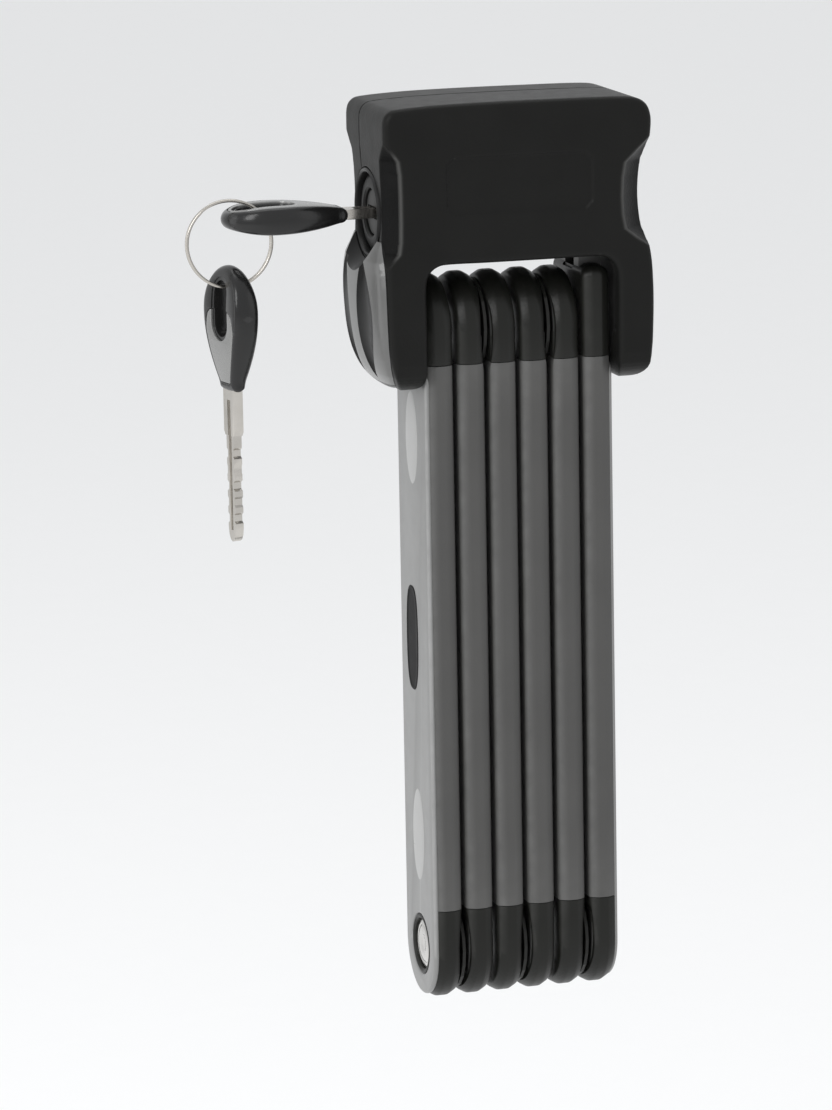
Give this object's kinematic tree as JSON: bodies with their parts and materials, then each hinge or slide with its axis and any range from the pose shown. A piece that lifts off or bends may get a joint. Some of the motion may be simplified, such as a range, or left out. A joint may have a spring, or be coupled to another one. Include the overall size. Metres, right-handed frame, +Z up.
{
  "type": "folding bike lock",
  "caption": "Folding bicycle lock: a stack of flat riveted bars with grey grips hangs from a black waisted lock head with a keyed cylinder; keys on a ring.",
  "frame": {"origin": "on the flat top of the lock head, above the middle of the folded stack", "axes": "+Z up the folded bars towards the head, +Y out of the back of the head, -X out of the keyhole"},
  "size_m": [0.1019, 0.032, 0.2026],
  "materials": {
    "head_black": "satin black",
    "cheek_gloss": "gloss black",
    "hardened_steel": "zinc plated",
    "end_black": "moulded black",
    "grip_grey": "soft grey",
    "trim_silver": "silver paint",
    "rivet_steel": "polished",
    "disc_brass": "machined",
    "spring_steel": "wire",
    "key_nickel": "nickel plated",
    "key_black": "moulded black"
  },
  "bodies": {
    "head": {"front_cover": "head_black", "rear_cover": "head_black", "left_cheek_cover": "cheek_gloss", "keyhole_bezel": "cheek_gloss", "cylinder_barrel": "hardened_steel", "lock_frame": "hardened_steel", "rivet_1": "rivet_steel", "spacer_1": "end_black", "bolt_spring": "spring_steel", "cover_screw_1": "rivet_steel", "cover_screw_2": "rivet_steel", "cover_screw_3": "rivet_steel", "barrel_grub_screw": "rivet_steel"},
    "bar_1": {"bar_1_plate": "hardened_steel", "bar_1_jacket": "end_black", "bar_1_grip": "grip_grey", "bar_1_trim": "trim_silver", "bar_1_badge": "end_black", "rivet_2": "rivet_steel", "spacer_2": "end_black"},
    "bar_2": {"bar_2_plate": "hardened_steel", "bar_2_jacket": "end_black", "bar_2_grip": "grip_grey", "rivet_3": "rivet_steel", "spacer_3": "end_black"},
    "bar_3": {"bar_3_plate": "hardened_steel", "bar_3_jacket": "end_black", "bar_3_grip": "grip_grey", "rivet_4": "rivet_steel", "spacer_4": "end_black"},
    "bar_4": {"bar_4_plate": "hardened_steel", "bar_4_jacket": "end_black", "bar_4_grip": "grip_grey", "rivet_5": "rivet_steel", "spacer_5": "end_black"},
    "bar_5": {"bar_5_plate": "hardened_steel", "bar_5_jacket": "end_black", "bar_5_grip": "grip_grey", "rivet_6": "rivet_steel", "spacer_6": "end_black"},
    "bar_6": {"bar_6_plate": "hardened_steel", "bar_6_jacket": "end_black", "bar_6_grip": "grip_grey", "bar_6_trim": "trim_silver"},
    "cylinder_core": {"cylinder_core": "hardened_steel", "sidebar": "disc_brass", "drive_cam": "hardened_steel", "detainer_disc_1": "disc_brass", "detainer_disc_2": "disc_brass", "detainer_disc_3": "disc_brass", "detainer_disc_4": "disc_brass"},
    "locking_bolt": {"locking_bolt": "hardened_steel"},
    "key_1": {"key_1_blade": "key_nickel", "key_1_bow": "key_black", "key_1_label": "trim_silver"},
    "key_ring": {"key_ring": "key_nickel"},
    "key_2": {"key_2_blade": "key_nickel", "key_2_bow": "key_black", "key_2_label": "trim_silver"}
  },
  "joints": [
    {"name": "bar_1_pivot", "type": "hinge", "parent": "head", "child": "bar_1", "pos_m": [-0.0216, 0, -0.0506], "axis": [1, 0, 0], "range_deg": [-95, 1]},
    {"name": "bar_2_pivot", "type": "hinge", "parent": "bar_1", "child": "bar_2", "pos_m": [-0.0144, 0, -0.1906], "axis": [1, 0, 0], "range_deg": [-180, 0]},
    {"name": "bar_3_pivot", "type": "hinge", "parent": "bar_2", "child": "bar_3", "pos_m": [-0.0072, 0, -0.0506], "axis": [1, 0, 0], "range_deg": [-95, 1]},
    {"name": "bar_4_pivot", "type": "hinge", "parent": "bar_3", "child": "bar_4", "pos_m": [0, 0, -0.1906], "axis": [1, 0, 0], "range_deg": [-180, 0]},
    {"name": "bar_5_pivot", "type": "hinge", "parent": "bar_4", "child": "bar_5", "pos_m": [0.0072, 0, -0.0506], "axis": [1, 0, 0], "range_deg": [-95, 1]},
    {"name": "bar_6_pivot", "type": "hinge", "parent": "bar_5", "child": "bar_6", "pos_m": [0.0144, 0, -0.1906], "axis": [1, 0, 0], "range_deg": [-180, 0]},
    {"name": "cylinder_turn", "type": "hinge", "parent": "head", "child": "cylinder_core", "pos_m": [0, 0, -0.0246], "axis": [1, 0, 0], "range_deg": [-90, 0]},
    {"name": "bolt_slide", "type": "slide", "parent": "head", "child": "locking_bolt", "axis": [0, 0, 1], "range_m": [-0.0072, 0], "deforming": ["bolt_spring"]},
    {"name": "key_1_withdraw", "type": "slide", "parent": "cylinder_core", "child": "key_1", "axis": [-1, 0, 0], "range_m": [0, 0.05]},
    {"name": "key_ring_slip", "type": "hinge", "parent": "key_1", "child": "key_ring", "pos_m": [-0.0618, 0, -0.0298], "axis": [0, 1, 0], "range_deg": [-12, 60]},
    {"name": "key_2_swing", "type": "hinge", "parent": "key_ring", "child": "key_2", "pos_m": [-0.0618, 0, -0.039], "axis": [1, 0, 0], "range_deg": [-60, 60]}
  ],
  "couplings": [
    {"joint": "bolt_slide", "follows": "cylinder_turn", "m_per_rad": 0.0045}
  ]
}
